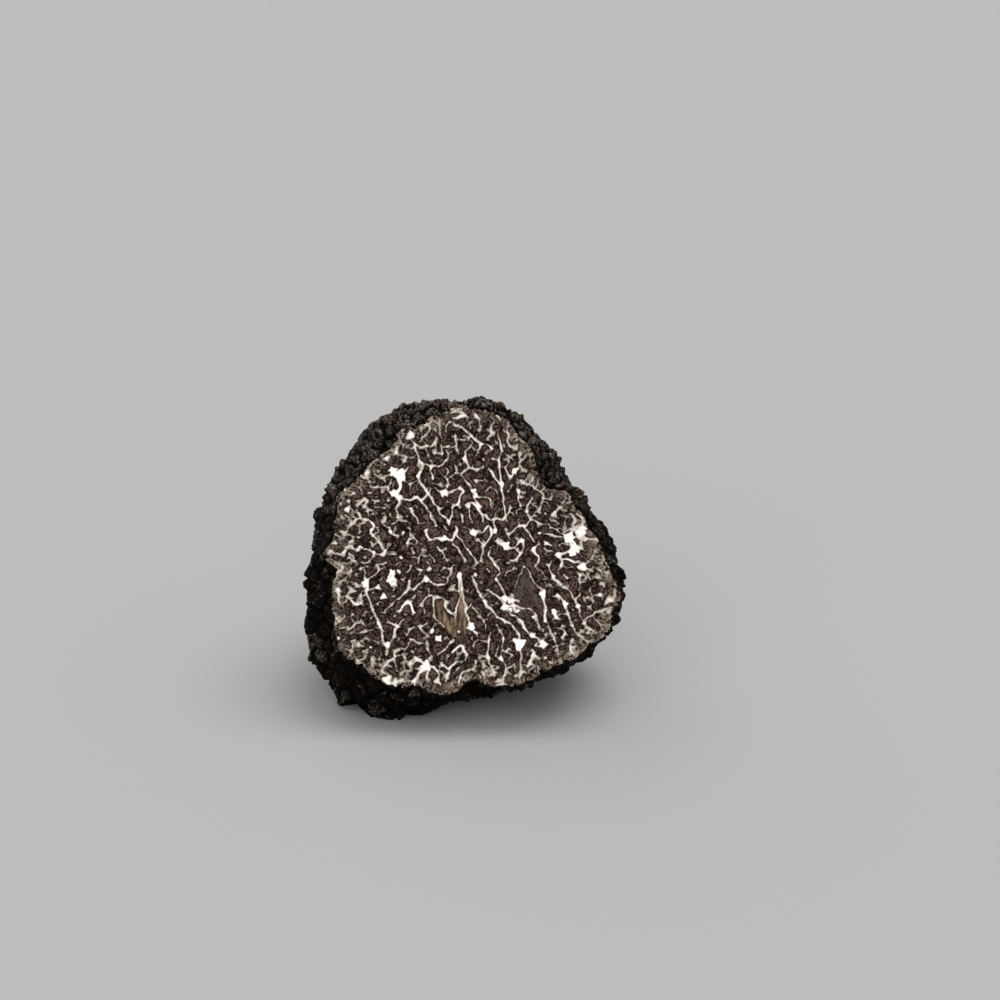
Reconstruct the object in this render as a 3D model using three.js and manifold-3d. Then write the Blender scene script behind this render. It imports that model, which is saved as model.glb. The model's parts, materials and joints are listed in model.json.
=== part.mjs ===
// Black truffle with a slice taken off its front, lying on a small flat spot.
// Millimetres, +Z up. The origin is the middle of the flat spot that it rests on, +X is to
// the right of someone who looks at the cut face, and the cut face looks along -Y and a little up.
import * as THREE from "three";
import { ConvexHull } from "three/addons/math/ConvexHull.js";
import { mergeVertices } from "three/addons/utils/BufferGeometryUtils.js";
import Module from "manifold-3d";

const wasm = await Module();
wasm.setup();

// Driving dimensions. The body is shaped in a frame of its own: x to the right, y up along the
// cut, z straight out of the cut, and the middle of the truffle at zero.

// Two outlines seen straight onto the cut: the rim of the cut face, and the widest girth behind
// it. Each is a row of radii, evenly spaced counterclockwise from the right.
const CUT_OUTLINE = [
  27.2, 24.0, 21.0, 23.8, 28.8, 28.5, 28.3, 27.5, 27.6,
  28.8, 30.0, 32.3, 31.3, 28.6, 28.2, 28.0, 30.4, 31.0,
];
const GIRTH_OUTLINE = [
  28.0, 24.5, 24.3, 26.6, 29.4, 30.6, 32.8, 32.2, 31.4,
  32.6, 36.0, 40.8, 39.8, 30.8, 26.4, 26.4, 30.2, 30.8,
];
const CUT_DISTANCE = 12; // from the middle of the truffle out to the cut
const BACK_RADIUS = 31; // from the middle to the back
const GIRTH_TILT = THREE.MathUtils.degToRad(96); // where the girth lies, from the cut's normal

// Lobes and hollows of the body: where each one is, in degrees round the cut and from its normal,
// how far it stands out or sinks in, and its half width as an angle in radians.
const LOBES = [
  { round: 270, tilt: 72, rise: -3.2, width: 0.1 }, // fold that notches the lower rim
  { round: 282, tilt: 127, rise: 7.2, width: 0.36 }, // underside, behind the rim
  { round: 236, tilt: 122, rise: -4.2, width: 0.3 }, // hollow beside the underside
  { round: 335, tilt: 128, rise: 2.4, width: 0.32 }, // right flank
  { round: 25, tilt: 132, rise: 3.2, width: 0.36 }, // right shoulder
  { round: 0, tilt: 145, rise: -2.6, width: 0.2 }, // hollow between right flank and shoulder
  { round: 95, tilt: 136, rise: 3.4, width: 0.38 }, // top of the back
  { round: 60, tilt: 128, rise: -2.4, width: 0.16 }, // hollow beside the top
  { round: 170, tilt: 135, rise: 3.0, width: 0.36 }, // left flank
  { round: 135, tilt: 140, rise: -2.8, width: 0.18 }, // hollow above the left flank
  { round: 225, tilt: 152, rise: 1.4, width: 0.36 }, // low on the back
];

// Warts: pyramids on a net of cells that covers the whole skin.
const WART_COUNT = 1750; // over the whole truffle, before the slice is taken off
const WART_SHIFT = 0.36; // how far a wart strays from an even spread, as a share of their spacing
const WART_PEAK = 0.6; // mean height of a wart's tip above the body
const GROOVE_DEPTH = 0.55; // mean depth of the grooves' corners below the body
const RELIEF_SPREAD = 0.5; // how much those two vary from wart to wart

// How it lies.
const CUT_TILT = THREE.MathUtils.degToRad(20); // how far the cut face looks up
const BODY_MIDDLE = new THREE.Vector3(6.5, -3.2, 31.7); // the middle of the truffle, above the flat spot
const CUTTER = 200; // side of the blocks that take off the slice and the flat spot

const SKIN = new THREE.MeshStandardMaterial({ color: 0x1b1816, roughness: 0.7, metalness: 0 });

// What the repeatable draws are for: a wart's shift along three axes, its peak and its grooves.
const DRAW = { shiftX: 1, shiftY: 2, shiftZ: 3, peak: 4, groove: 5 };

// A repeatable number from 0 to 1 for each whole number and each use of it.
function scatter(index, use) {
  const wave = Math.sin(index * 12.9898 + use * 78.233) * 43758.5453;
  return wave - Math.floor(wave);
}

// A ring of radii read at an angle, with a smooth curve through them.
function outlineRadius(outline, angle) {
  const count = outline.length;
  const place = ((angle / (2 * Math.PI)) * count + count) % count;
  const first = Math.floor(place);
  const [before, here, next, after] = [-1, 0, 1, 2].map((k) => outline[(first + k + count) % count]);
  const t = place - first;
  const bend = (next - before) / 2;
  const nextBend = (after - here) / 2;
  const hop = next - here;
  return here + t * (bend + t * (3 * hop - 2 * bend - nextBend + t * (bend + nextBend - 2 * hop)));
}

// The unit direction at an angle round the cut and an angle from its normal, both in radians.
function directionAt(round, tilt) {
  const across = Math.sin(tilt);
  return new THREE.Vector3(across * Math.cos(round), across * Math.sin(round), Math.cos(tilt));
}

// Distance from the middle to the skin without its warts: the rim, the girth and the back, joined
// by smooth steps, with the lobes added as soft bumps.
function bodyRadius(direction) {
  const round = Math.atan2(direction.y, direction.x);
  const tilt = Math.acos(THREE.MathUtils.clamp(direction.z, -1, 1));
  const rim = outlineRadius(CUT_OUTLINE, round);
  const girth = outlineRadius(GIRTH_OUTLINE, round);
  const toGirth = THREE.MathUtils.smoothstep(tilt, Math.atan2(rim, CUT_DISTANCE), GIRTH_TILT);
  const toBack = THREE.MathUtils.smoothstep(tilt, GIRTH_TILT, Math.PI);
  const front = THREE.MathUtils.lerp(Math.hypot(rim, CUT_DISTANCE), girth, toGirth);
  let radius = THREE.MathUtils.lerp(front, BACK_RADIUS, toBack);
  for (const lobe of LOBES) {
    const middle = directionAt(THREE.MathUtils.degToRad(lobe.round), THREE.MathUtils.degToRad(lobe.tilt));
    radius += lobe.rise * Math.exp(-(1 - direction.dot(middle)) / (lobe.width * lobe.width));
  }
  return radius;
}

// Directions of the warts' tips: an even spiral over the sphere, each shifted a little.
function wartDirections() {
  const turn = Math.PI * (3 - Math.sqrt(5));
  const spacing = Math.sqrt((4 * Math.PI) / WART_COUNT);
  return Array.from({ length: WART_COUNT }, (_, i) => {
    const direction = directionAt(i * turn, Math.acos(1 - (2 * i + 1) / WART_COUNT));
    const draws = [DRAW.shiftX, DRAW.shiftY, DRAW.shiftZ].map((use) => 2 * scatter(i, use) - 1);
    return direction.addScaledVector(new THREE.Vector3(...draws), WART_SHIFT * spacing).normalize();
  });
}

// The whole truffle as a closed surface: each wart is a pyramid over its cell of the net that
// lies halfway between neighbouring tips.
function wartySurface() {
  const tips = wartDirections();
  const numberOf = new Map(tips.map((tip, i) => [tip, i]));
  const { faces } = new ConvexHull().setFromPoints(tips);
  const cornerOf = new Map(faces.map((face, i) => [face, tips.length + i]));

  const varied = (mean, index, use) => mean * (1 + RELIEF_SPREAD * (2 * scatter(index, use) - 1));
  const raised = (direction, rise) => direction.clone().setLength(bodyRadius(direction) + rise);
  const points = [
    ...tips.map((tip, i) => raised(tip, varied(WART_PEAK, i, DRAW.peak))),
    ...faces.map((face, i) => raised(face.normal, -varied(GROOVE_DEPTH, i, DRAW.groove))),
  ];

  const triangles = [];
  for (const face of faces) {
    let edge = face.edge;
    do {
      triangles.push(numberOf.get(edge.tail().point), cornerOf.get(edge.twin.face), cornerOf.get(face));
      edge = edge.next;
    } while (edge !== face.edge);
  }
  return new THREE.BufferGeometry().setFromPoints(points).setIndex(triangles);
}

// A closed geometry as a solid that can be cut.
function solidOf(geometry) {
  const bare = new THREE.BufferGeometry();
  bare.setAttribute("position", geometry.getAttribute("position")).setIndex(geometry.getIndex());
  const merged = mergeVertices(bare);
  return new wasm.Manifold(
    new wasm.Mesh({
      numProp: 3,
      vertProperties: new Float32Array(merged.getAttribute("position").array),
      triVerts: new Uint32Array(merged.getIndex().array),
    }),
  );
}

// A solid back as a geometry.
function geometryOf(solid) {
  const { vertProperties, triVerts } = solid.getMesh();
  const geometry = new THREE.BufferGeometry();
  geometry.setAttribute("position", new THREE.BufferAttribute(vertProperties, 3));
  geometry.setIndex(new THREE.BufferAttribute(triVerts, 1));
  geometry.computeVertexNormals();
  return geometry;
}

// Turns a geometry from the body's own frame to where it lies.
function laidDown(geometry) {
  return geometry
    .rotateX(Math.PI / 2 - CUT_TILT)
    .translate(BODY_MIDDLE.x, BODY_MIDDLE.y, BODY_MIDDLE.z);
}

function cutTruffle() {
  const block = () => new THREE.BoxGeometry(CUTTER, CUTTER, CUTTER);
  const slice = laidDown(block().translate(0, 0, CUT_DISTANCE + CUTTER / 2));
  const flatSpot = block().translate(0, 0, -CUTTER / 2);
  const whole = solidOf(laidDown(wartySurface()));
  return geometryOf(whole.subtract(solidOf(slice)).subtract(solidOf(flatSpot)));
}

const truffle = new THREE.Mesh(cutTruffle(), SKIN);
truffle.name = "truffle";

const part = new THREE.Group();
part.add(truffle);

export default part;
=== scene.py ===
# %% [markdown]
# # A black truffle with a slice taken off
#
# A black truffle is one natural body: firm marbled flesh inside a hard black skin of pyramidal
# warts. A knife took a slice off its front, so one closed surface carries two finishes: the warty
# skin, and the flat cut with its white veins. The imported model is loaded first, because it fixes
# the truffle's size and place.

# %% Load the model
import json

import bpy
import numpy as np
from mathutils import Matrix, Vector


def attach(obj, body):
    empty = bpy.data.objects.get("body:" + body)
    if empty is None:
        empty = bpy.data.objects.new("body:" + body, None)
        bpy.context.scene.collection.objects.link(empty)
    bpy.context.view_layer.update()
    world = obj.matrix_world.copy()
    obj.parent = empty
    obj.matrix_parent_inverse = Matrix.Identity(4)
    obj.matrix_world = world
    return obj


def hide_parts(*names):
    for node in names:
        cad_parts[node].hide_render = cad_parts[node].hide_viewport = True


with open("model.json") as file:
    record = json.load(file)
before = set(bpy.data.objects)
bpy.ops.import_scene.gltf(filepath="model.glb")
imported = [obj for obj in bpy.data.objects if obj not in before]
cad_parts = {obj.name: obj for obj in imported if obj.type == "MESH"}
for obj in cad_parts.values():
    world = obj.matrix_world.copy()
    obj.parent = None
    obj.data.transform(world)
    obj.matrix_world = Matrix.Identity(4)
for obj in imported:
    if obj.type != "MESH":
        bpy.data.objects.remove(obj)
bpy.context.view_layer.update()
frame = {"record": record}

# %% [markdown]
# ## The truffle's own axes
#
# Every shape below is worked out in millimetres from the middle of the truffle, with x to the
# right, y up along the cut and z straight out of it. In these axes the cut is flat and its veins
# are plain two-number places. The record's mount on the cut says where it is and how it faces.

# %% Axes from the mount on the cut
MM = 0.001
CUT_DISTANCE = 12.0  # from the middle of the truffle out to the cut

mounts = {mount["name"]: mount for mount in frame["record"]["mounts"]}
cut_centre = np.array(mounts["cut_face"]["pos_m"]) / MM
out_of_cut = np.array(mounts["cut_face"]["axis"])
to_right = np.array([1.0, 0.0, 0.0])
axes = np.stack([to_right, np.cross(out_of_cut, to_right), out_of_cut])
middle = cut_centre - CUT_DISTANCE * out_of_cut
print("middle of the truffle in mm:", np.round(middle, 2).tolist())

# %% [markdown]
# ## The body under the warts
#
# A truffle swells where the soil lets it, so its body is lumpy and has no plain section. It could
# be sculpted, but a formula is easier to keep in step with the model: the distance from the middle
# to the skin, for any direction. Two outlines seen straight onto the cut, the rim and the widest
# girth behind it, run smoothly into the round back, and soft lobes and hollows are added.

# %% Outlines and lobes of the body
CUT_OUTLINE = np.array([
    27.2, 24.0, 21.0, 23.8, 28.8, 28.5, 28.3, 27.5, 27.6,
    28.8, 30.0, 32.3, 31.3, 28.6, 28.2, 28.0, 30.4, 31.0,
])
GIRTH_OUTLINE = np.array([
    28.0, 24.5, 24.3, 26.6, 29.4, 30.6, 32.8, 32.2, 31.4,
    32.6, 36.0, 40.8, 39.8, 30.8, 26.4, 26.4, 30.2, 30.8,
])
GIRTH_TILT = np.radians(96)  # where the girth lies, from the cut's normal
BACK_RADIUS = 31.0

# Degrees round the cut, degrees from its normal, rise in mm, half width in radians.
LOBES = [
    (270, 72, -3.2, 0.10),  # fold that notches the lower rim
    (271, 67, -2.4, 0.045),  # the sharp bottom of that fold
    (96, 68, 1.5, 0.05),  # flake that stands up at the top of the rim
    (282, 127, 7.2, 0.36),  # underside, behind the rim
    (236, 122, -4.2, 0.30),  # hollow beside the underside
    (335, 128, 2.4, 0.32),  # right flank
    (25, 132, 3.2, 0.36),  # right shoulder
    (0, 145, -2.6, 0.20),  # hollow between right flank and shoulder
    (95, 136, 3.4, 0.38),  # top of the back
    (60, 128, -2.4, 0.16),  # hollow beside the top
    (170, 135, 3.0, 0.36),  # left flank
    (135, 140, -2.8, 0.18),  # hollow above the left flank
    (225, 152, 1.4, 0.36),  # low on the back
]


# %% The body as a function of direction
def smooth_curve(before, here, after, beyond, t):
    """A cubic from here to after that leans, at each end, along the line between that end's neighbours."""
    lean = (after - before) / 2
    next_lean = (beyond - here) / 2
    hop = after - here
    return here + t * (lean + t * (3 * hop - 2 * lean - next_lean + t * (lean + next_lean - 2 * hop)))


def ring_radius(ring, angle):
    """A ring of evenly spaced radii, read at any angle with a smooth curve through them."""
    place = (angle / (2 * np.pi) * len(ring)) % len(ring)
    first = np.floor(place).astype(int)
    return smooth_curve(*(ring[(first + k) % len(ring)] for k in (-1, 0, 1, 2)), place - first)


def smooth_step(value, low, high):
    """From 0 at low to 1 at high, level at both ends: 3 t squared less 2 t cubed."""
    t = np.clip((value - low) / (high - low), 0, 1)
    return t * t * (3 - 2 * t)


def direction_at(angle, tilt):
    """The unit direction at an angle round the cut and a tilt from its normal."""
    return np.stack([np.sin(tilt) * np.cos(angle), np.sin(tilt) * np.sin(angle), np.cos(tilt)], axis=-1)


def body_radius(direction):
    """Rim, girth and back joined by smooth steps of the tilt, plus one bell-shaped bump for each lobe."""
    angle = np.arctan2(direction[:, 1], direction[:, 0])
    tilt = np.arccos(np.clip(direction[:, 2], -1, 1))
    rim = ring_radius(CUT_OUTLINE, angle)
    girth = ring_radius(GIRTH_OUTLINE, angle)
    to_girth = smooth_step(tilt, np.arctan2(rim, CUT_DISTANCE), GIRTH_TILT)
    front = np.hypot(rim, CUT_DISTANCE) * (1 - to_girth) + girth * to_girth
    to_back = smooth_step(tilt, GIRTH_TILT, np.pi)
    radius = front * (1 - to_back) + BACK_RADIUS * to_back
    for lobe_angle, lobe_tilt, rise, width in LOBES:
        lobe = direction_at(np.radians(lobe_angle), np.radians(lobe_tilt))
        radius = radius + rise * np.exp(-(1 - direction @ lobe) / width**2)
    return radius


# %% [markdown]
# ## The warts
#
# The skin is a net of low pyramids, 2 to 3 mm across, with four to seven flat sides each and a worn
# top. They grow as cells that press on each other, which is how a Voronoi net is made: every spot
# belongs to the nearest tip. The tips are the model's own, an even spiral with each tip shifted
# a little, so the fine warts stand where the model's coarse ones do.

# %% Tips of the warts
WART_COUNT = 1750  # over the whole truffle, before the slice is taken off
WART_SHIFT = 0.36  # how far a tip strays from the spiral, as a share of their spacing
SHIFT_DRAWS = (1, 2, 3)  # each use of scatter has numbers of its own
SPIRAL_TURN = np.pi * (3 - np.sqrt(5))  # from one tip to the next, so that no two line up


def scatter(index, use):
    """A repeatable number from 0 to 1: what follows the decimal point of a steep sine wave."""
    wave = np.sin(index * 12.9898 + use * 78.233) * 43758.5453
    return wave - np.floor(wave)


def stray(index, use):
    """A repeatable number from -1 to 1."""
    return 2 * scatter(index, use) - 1


wart = np.arange(WART_COUNT)
spiral = direction_at(wart * SPIRAL_TURN, np.arccos(1 - (2 * wart + 1) / WART_COUNT))
shift = np.stack([stray(wart, use) for use in SHIFT_DRAWS], axis=-1)
tips = spiral + shift * WART_SHIFT * np.sqrt(4 * np.pi / WART_COUNT)
tips /= np.linalg.norm(tips, axis=1, keepdims=True)
print(len(tips), "warts")

# %% Cells of the warts
NEIGHBOURS = 9  # tips that can share a border with a cell, its own tip among them
BATCH = 4000  # directions worked out at a time, to keep the tables small
SIZE_SPREAD = 0.0009  # how far a wart's pull on the spots round it strays from the others'
PULL_DRAW = 5

pull = SIZE_SPREAD * stray(wart, PULL_DRAW)


def wart_cells(direction):
    """The tip that pulls most, by its closeness and its own pull, and how far inside its cell each
    direction lies. A border is a plane between two tips, so that is the lean away from the nearest."""
    owners = []
    depths = []
    for start in range(0, len(direction), BATCH):
        some = direction[start:start + BATCH]
        closeness = some @ tips.T + pull
        near = np.argpartition(-closeness, NEIGHBOURS, axis=1)[:, :NEIGHBOURS]
        near_closeness = np.take_along_axis(closeness, near, axis=1)
        order = np.argsort(-near_closeness, axis=1)
        near = np.take_along_axis(near, order, axis=1)
        near_closeness = np.take_along_axis(near_closeness, order, axis=1)
        apart = np.linalg.norm(tips[near[:, :1]] - tips[near[:, 1:]], axis=2)
        owners.append(near[:, 0])
        depths.append(((near_closeness[:, :1] - near_closeness[:, 1:]) / apart).min(axis=1))
    return np.concatenate(owners), np.concatenate(depths)


# %% [markdown]
# Nothing grown is quite regular, so the cells are bent and the body is made a little lumpier by
# soft noise. A sum of sine waves in random directions is smooth, needs no table and comes out the
# same each run when its draws are seeded.

# %% Soft noise
WAVES = 24
LENGTH_SPREAD = (0.7, 1.4)  # shortest and longest wave, as shares of the wavelength
MEAN_RIPPLE = 0.4  # mean size of a ripple, which leaves a crest's mean at zero


def ripple(place, wavelength, seed):
    """Noise of about -1 to 1: the scaled sum of sine waves with random directions, lengths and phases."""
    draw = np.random.default_rng(seed)
    way = draw.normal(size=(place.shape[1], WAVES))
    way /= np.linalg.norm(way, axis=0) * wavelength * draw.uniform(*LENGTH_SPREAD, WAVES)
    return np.sin(2 * np.pi * (place @ way + draw.random(WAVES))).sum(axis=1) / np.sqrt(2 * WAVES)


def crest(place, wavelength, seed):
    """Sharp ridges between round hollows: noise folded over at zero, so that it peaks there."""
    return MEAN_RIPPLE - np.abs(ripple(place, wavelength, seed))


def layered(noise, place, *layers):
    """The sum of layers of one kind of noise. Each layer has a height, a wavelength and a seed."""
    return sum(height * noise(place, wavelength, seed) for height, wavelength, seed in layers)


# %% [markdown]
# A wart is the lower of two things: its sides, which rise evenly from the border of its cell and so
# meet in ridges as the sides of a pyramid do, and its worn top, which leans a little. Fine flutes run
# from the tip down the sides, and crags roughen the whole. Some warts keep their point and others are
# worn nearly flat.

# %% The skin as a function of direction
WART_SLOPE = 1.7  # rise of a wart's sides for each mm in from its border
GROOVE_DEPTH = 0.68  # floor of the grooves below the body
WART_TOP = 0.26  # mean height of the worn tops above the body
TOP_SPREAD = 0.3  # how much the tops vary from wart to wart
TOP_LEAN = 0.45  # how steeply a worn top may lean
EDGE_SHARPNESS = 16.0  # per mm, of the edge round a worn top
FLUTES = (5, 9)  # fewest and most round a wart
FLUTE_HEIGHT = 0.14
FLUTE_FADE = (0.1, 0.9)  # from the tip, where flutes begin and where they are at full height
MEAN_FLUTE = 0.6  # about the mean size of a sine, which keeps the flutes level with the wart
CRAGS = ((0.24, 2.6, 32), (0.2, 1.5, 33))  # height, wavelength and seed
LUMPS = ((0.9, 8.5, 30), (0.5, 4.8, 31))
TOP_DRAW = 4
LEAN_DRAWS = (6, 7, 8)
FLUTE_DRAW = 10
PHASE_DRAW = 11
OUTWARD = np.array([0.0, 0.0, 1.0])  # straight out of the cut, in the truffle's own axes


def turn_about_tip(offset, owner):
    """Angle round the wart's own axis, from minus half a turn to half a turn."""
    first = np.cross(tips[owner], OUTWARD)
    first /= np.linalg.norm(first, axis=1, keepdims=True)
    second = np.cross(tips[owner], first)
    return np.arctan2((offset * second).sum(axis=1), (offset * first).sum(axis=1))


def flutes(offset, turn, owner):
    """Sharp ridges round each wart's axis, with their own number and phase, that fade out at its tip."""
    number = np.floor(FLUTES[0] + scatter(owner, FLUTE_DRAW) * (FLUTES[1] - FLUTES[0] + 1))
    fade = smooth_step(np.linalg.norm(offset, axis=1), *FLUTE_FADE)
    wave = np.abs(np.sin(number * turn / 2 + np.pi * scatter(owner, PHASE_DRAW)))
    return FLUTE_HEIGHT * fade * (MEAN_FLUTE - wave)


def skin_radius(direction):
    """The body plus lumps, and the fluted warts with fine crags on them. Returns the radius, the height
    of wart and crags over the body, the wart's number and the turn about its tip."""
    radius = body_radius(direction)
    place = direction * radius[:, None]
    bend = [layered(ripple, place, (0.45, 4.0, 10 + k), (0.07, 1.3, 20 + k)) for k in range(3)]
    bent = place + np.stack(bend, axis=1)
    bent /= np.linalg.norm(bent, axis=1, keepdims=True)
    owner, depth = wart_cells(bent)
    sides = WART_SLOPE * depth * radius - GROOVE_DEPTH
    offset = (bent - tips[owner]) * radius[:, None]
    turn = turn_about_tip(offset, owner)
    lean = np.stack([stray(owner, use) for use in LEAN_DRAWS], axis=1) * TOP_LEAN
    top = WART_TOP + TOP_SPREAD * stray(owner, TOP_DRAW) + (lean * offset).sum(axis=1)
    height = -np.logaddexp(-EDGE_SHARPNESS * sides, -EDGE_SHARPNESS * top) / EDGE_SHARPNESS
    height += flutes(offset, turn, owner) + layered(crest, place, *CRAGS)
    return radius + layered(ripple, place, *LUMPS) + height, height, owner, turn


# %% [markdown]
# ## One closed surface
#
# The surface is two square grids joined by a band. The front square is rounded out to fill the cut,
# which spreads the points more evenly than a fan with one pole would. The band runs from the rim to
# the girth, and the back square closes the rest.

# %% Grids
SIDE = 190  # cells along a side of the square grids
BAND = 36  # rows of cells from the rim to the girth


def round_square(across, along):
    """Reach and angle on a disc: each number shrinks with the square of the other, which turns the
    border of the square into a circle and keeps the lines inside it smooth."""
    x = across * np.sqrt(1 - along**2 / 2)
    y = along * np.sqrt(1 - across**2 / 2)
    return np.hypot(x, y), np.arctan2(y, x)


steps = np.linspace(-1, 1, SIDE + 1)
reach, angle = round_square(*np.meshgrid(steps, steps, indexing="ij"))

# The border of the square, counterclockwise from its lower right corner.
count = np.arange(SIDE)
low = np.zeros(SIDE, int)
high = np.full(SIDE, SIDE)
border_across = np.concatenate([high, SIDE - count, low, count])
border_along = np.concatenate([count, high, SIDE - count, low])
border = (border_across, border_along)
border_angle = angle[border]

# %% Numbers of the points, and the cells that join them
front = np.arange(reach.size).reshape(reach.shape)
band = front.size + np.arange(BAND * 4 * SIDE).reshape(BAND, 4 * SIDE)
rows = np.vstack([front[border][None], band])
back = np.empty_like(front)
back[1:-1, 1:-1] = front.size + band.size + np.arange((SIDE - 1) ** 2).reshape(SIDE - 1, SIDE - 1)
back[border] = band[-1]


def cells(grid):
    """Four corners of every cell of a grid of point numbers, counterclockwise for a grid of x, y."""
    corners = [grid[:-1, :-1], grid[1:, :-1], grid[1:, 1:], grid[:-1, 1:]]
    return np.stack(corners, axis=-1).reshape(-1, 4)


closed_rows = np.hstack([rows, rows[:, :1]])
quads = np.vstack([cells(front), cells(closed_rows), cells(back.T)])
print(len(quads), "cells,", 2 * len(quads), "triangles")

# %% [markdown]
# The rim is where the warty skin meets the plane of the cut. Along each direction round the cut the
# tilt is halved in on, for all directions at once, until the skin stands just as far out as the cut.

# %% Rim, skin and cut
RIM_SEARCH = np.radians([50, 86])
HALVINGS = 26

inner = np.full(4 * SIDE, RIM_SEARCH[0])
outer = np.full(4 * SIDE, RIM_SEARCH[1])
for _ in range(HALVINGS):
    tilt = (inner + outer) / 2
    beyond_cut = skin_radius(direction_at(border_angle, tilt))[0] * np.cos(tilt) > CUT_DISTANCE
    inner = np.where(beyond_cut, tilt, inner)
    outer = np.where(beyond_cut, outer, tilt)
rim_tilt = (inner + outer) / 2
rim_radius = CUT_DISTANCE * np.tan(rim_tilt)

share = np.arange(BAND + 1)[:, None] / BAND
band_tilt = rim_tilt * (1 - share) + GIRTH_TILT * share
band_direction = direction_at(np.broadcast_to(border_angle, band_tilt.shape), band_tilt)
back_tilt = np.pi - reach * (np.pi - GIRTH_TILT)
back_direction = direction_at(angle, back_tilt)[1:-1, 1:-1]
skin_direction = np.vstack([band_direction.reshape(-1, 3), back_direction.reshape(-1, 3)])
radius, wart_height, wart_number, wart_turn = skin_radius(skin_direction)
skin_place = skin_direction * radius[:, None]
skin_place[:, 2] = np.minimum(skin_place[:, 2], CUT_DISTANCE)
print("rim radius in mm:", rim_radius.min().round(1), "to", rim_radius.max().round(1))

# %% Places on the cut
RIM_ZONE = 10  # how steeply the jagged rim fades into the calm one inside it
CALM_WAVES = 32  # waves round the rim that the calm one keeps

waves = np.fft.rfft(rim_radius)
waves[CALM_WAVES:] = 0
calm_rim = np.interp(angle, border_angle, np.fft.irfft(waves), period=2 * np.pi)
jagged_rim = np.interp(angle, border_angle, rim_radius, period=2 * np.pi)
cut_radius = reach * (calm_rim + (jagged_rim - calm_rim) * reach**RIM_ZONE)
cut_place = np.stack([cut_radius * np.cos(angle), cut_radius * np.sin(angle)], axis=-1).reshape(-1, 2)
rim_distance = (calm_rim - cut_radius).ravel()

# %% [markdown]
# ## The veins
#
# The flesh is dark where it holds spores, and threaded by white veins that carried air. They run
# together at a hub below the middle and fan out to the rim. Noise alone gives spots or cracks,
# not these routes, so the main veins are given one by one: half a width, then the places that the
# vein passes through, in millimetres right of and above the middle of the cut.

# %% Main veins above the hub, on the left
VEINS_UPPER_LEFT = [
    (0.28, (-12.1, 23.6), (-10.9, 19.9), (-9.6, 16.9), (-10.5, 15.3), (-8.6, 11.9), (-5.4, 7.3),
     (-4.4, 6.0)),
    (0.22, (-10.1, 18.2), (-8.0, 17.3), (-5.7, 17.7), (-4.4, 19.7)),
    (0.26, (-8.0, 17.3), (-8.0, 16.0), (-7.7, 14.9)),
    (0.22, (-11.6, 22.2), (-9.8, 21.1), (-8.5, 21.5)),
    (0.24, (-8.1, 26.2), (-8.5, 24.3), (-9.8, 23.1)),
    (0.16, (-6.5, 25.9), (-6.1, 23.6), (-5.8, 19.4)),
    (0.20, (-3.6, 23.1), (-3.1, 23.4), (-3.1, 21.7), (-2.6, 19.6)),
    (0.20, (-2.2, 15.8), (-3.4, 15.9), (-4.5, 14.6), (-5.8, 15.5)),
    (0.18, (-4.5, 14.6), (-5.1, 12.3)),
    (0.28, (-7.3, 13.1), (-5.4, 11.9), (-3.1, 12.6), (-1.7, 12.4), (-2.7, 10.0), (-3.6, 8.9), (-4.2, 6.0)),
    (0.30, (-9.0, 4.8), (-8.2, 2.8), (-5.2, 3.0), (-4.1, 2.6), (-3.0, 3.9), (-3.1, 5.5)),
    (0.24, (-3.0, 3.9), (-1.1, 1.3), (0.1, -0.2), (1.1, -1.9)),
    (0.22, (-4.1, 2.6), (-2.2, 0.4), (-1.4, -1.1), (-1.2, -2.0)),
    (0.22, (-12.4, 17.0), (-14.2, 15.1), (-14.4, 13.0), (-15.1, 11.6)),
    (0.20, (-16.0, 12.2), (-17.1, 13.2), (-19.7, 13.1), (-20.6, 15.4), (-20.4, 17.5)),
    (0.24, (-14.5, 11.0), (-14.7, 8.4), (-14.8, 6.1), (-15.8, 5.6)),
    (0.28, (-14.6, 11.0), (-12.8, 10.6), (-10.7, 11.1), (-9.9, 10.4), (-8.8, 11.6)),
    (0.22, (-10.5, 10.6), (-8.4, 8.4), (-7.0, 5.6)),
    (0.24, (-12.3, 8.9), (-10.4, 6.1)),
    (0.24, (-24.0, 6.0), (-21.7, 7.0), (-19.5, 5.9), (-19.8, 4.1), (-17.3, 0.4), (-17.8, -0.5)),
    (0.18, (-12.3, 3.6), (-13.0, 0.4)),
    (0.24, (-22.0, 1.3), (-17.8, -0.5)),
    (0.26, (-28.2, 0.2), (-25.4, -0.1)),
    (0.22, (-6.6, 1.1), (-4.7, -1.4)),
    (0.20, (-14.8, 19.9), (-12.3, 19.0), (-11.3, 19.4)),
    (0.45, (-15.0, 16.2), (-14.1, 13.9), (-14.9, 11.4)),
    (0.24, (-0.7, 9.6), (0.2, 10.0), (1.3, 9.2)),
]

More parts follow.
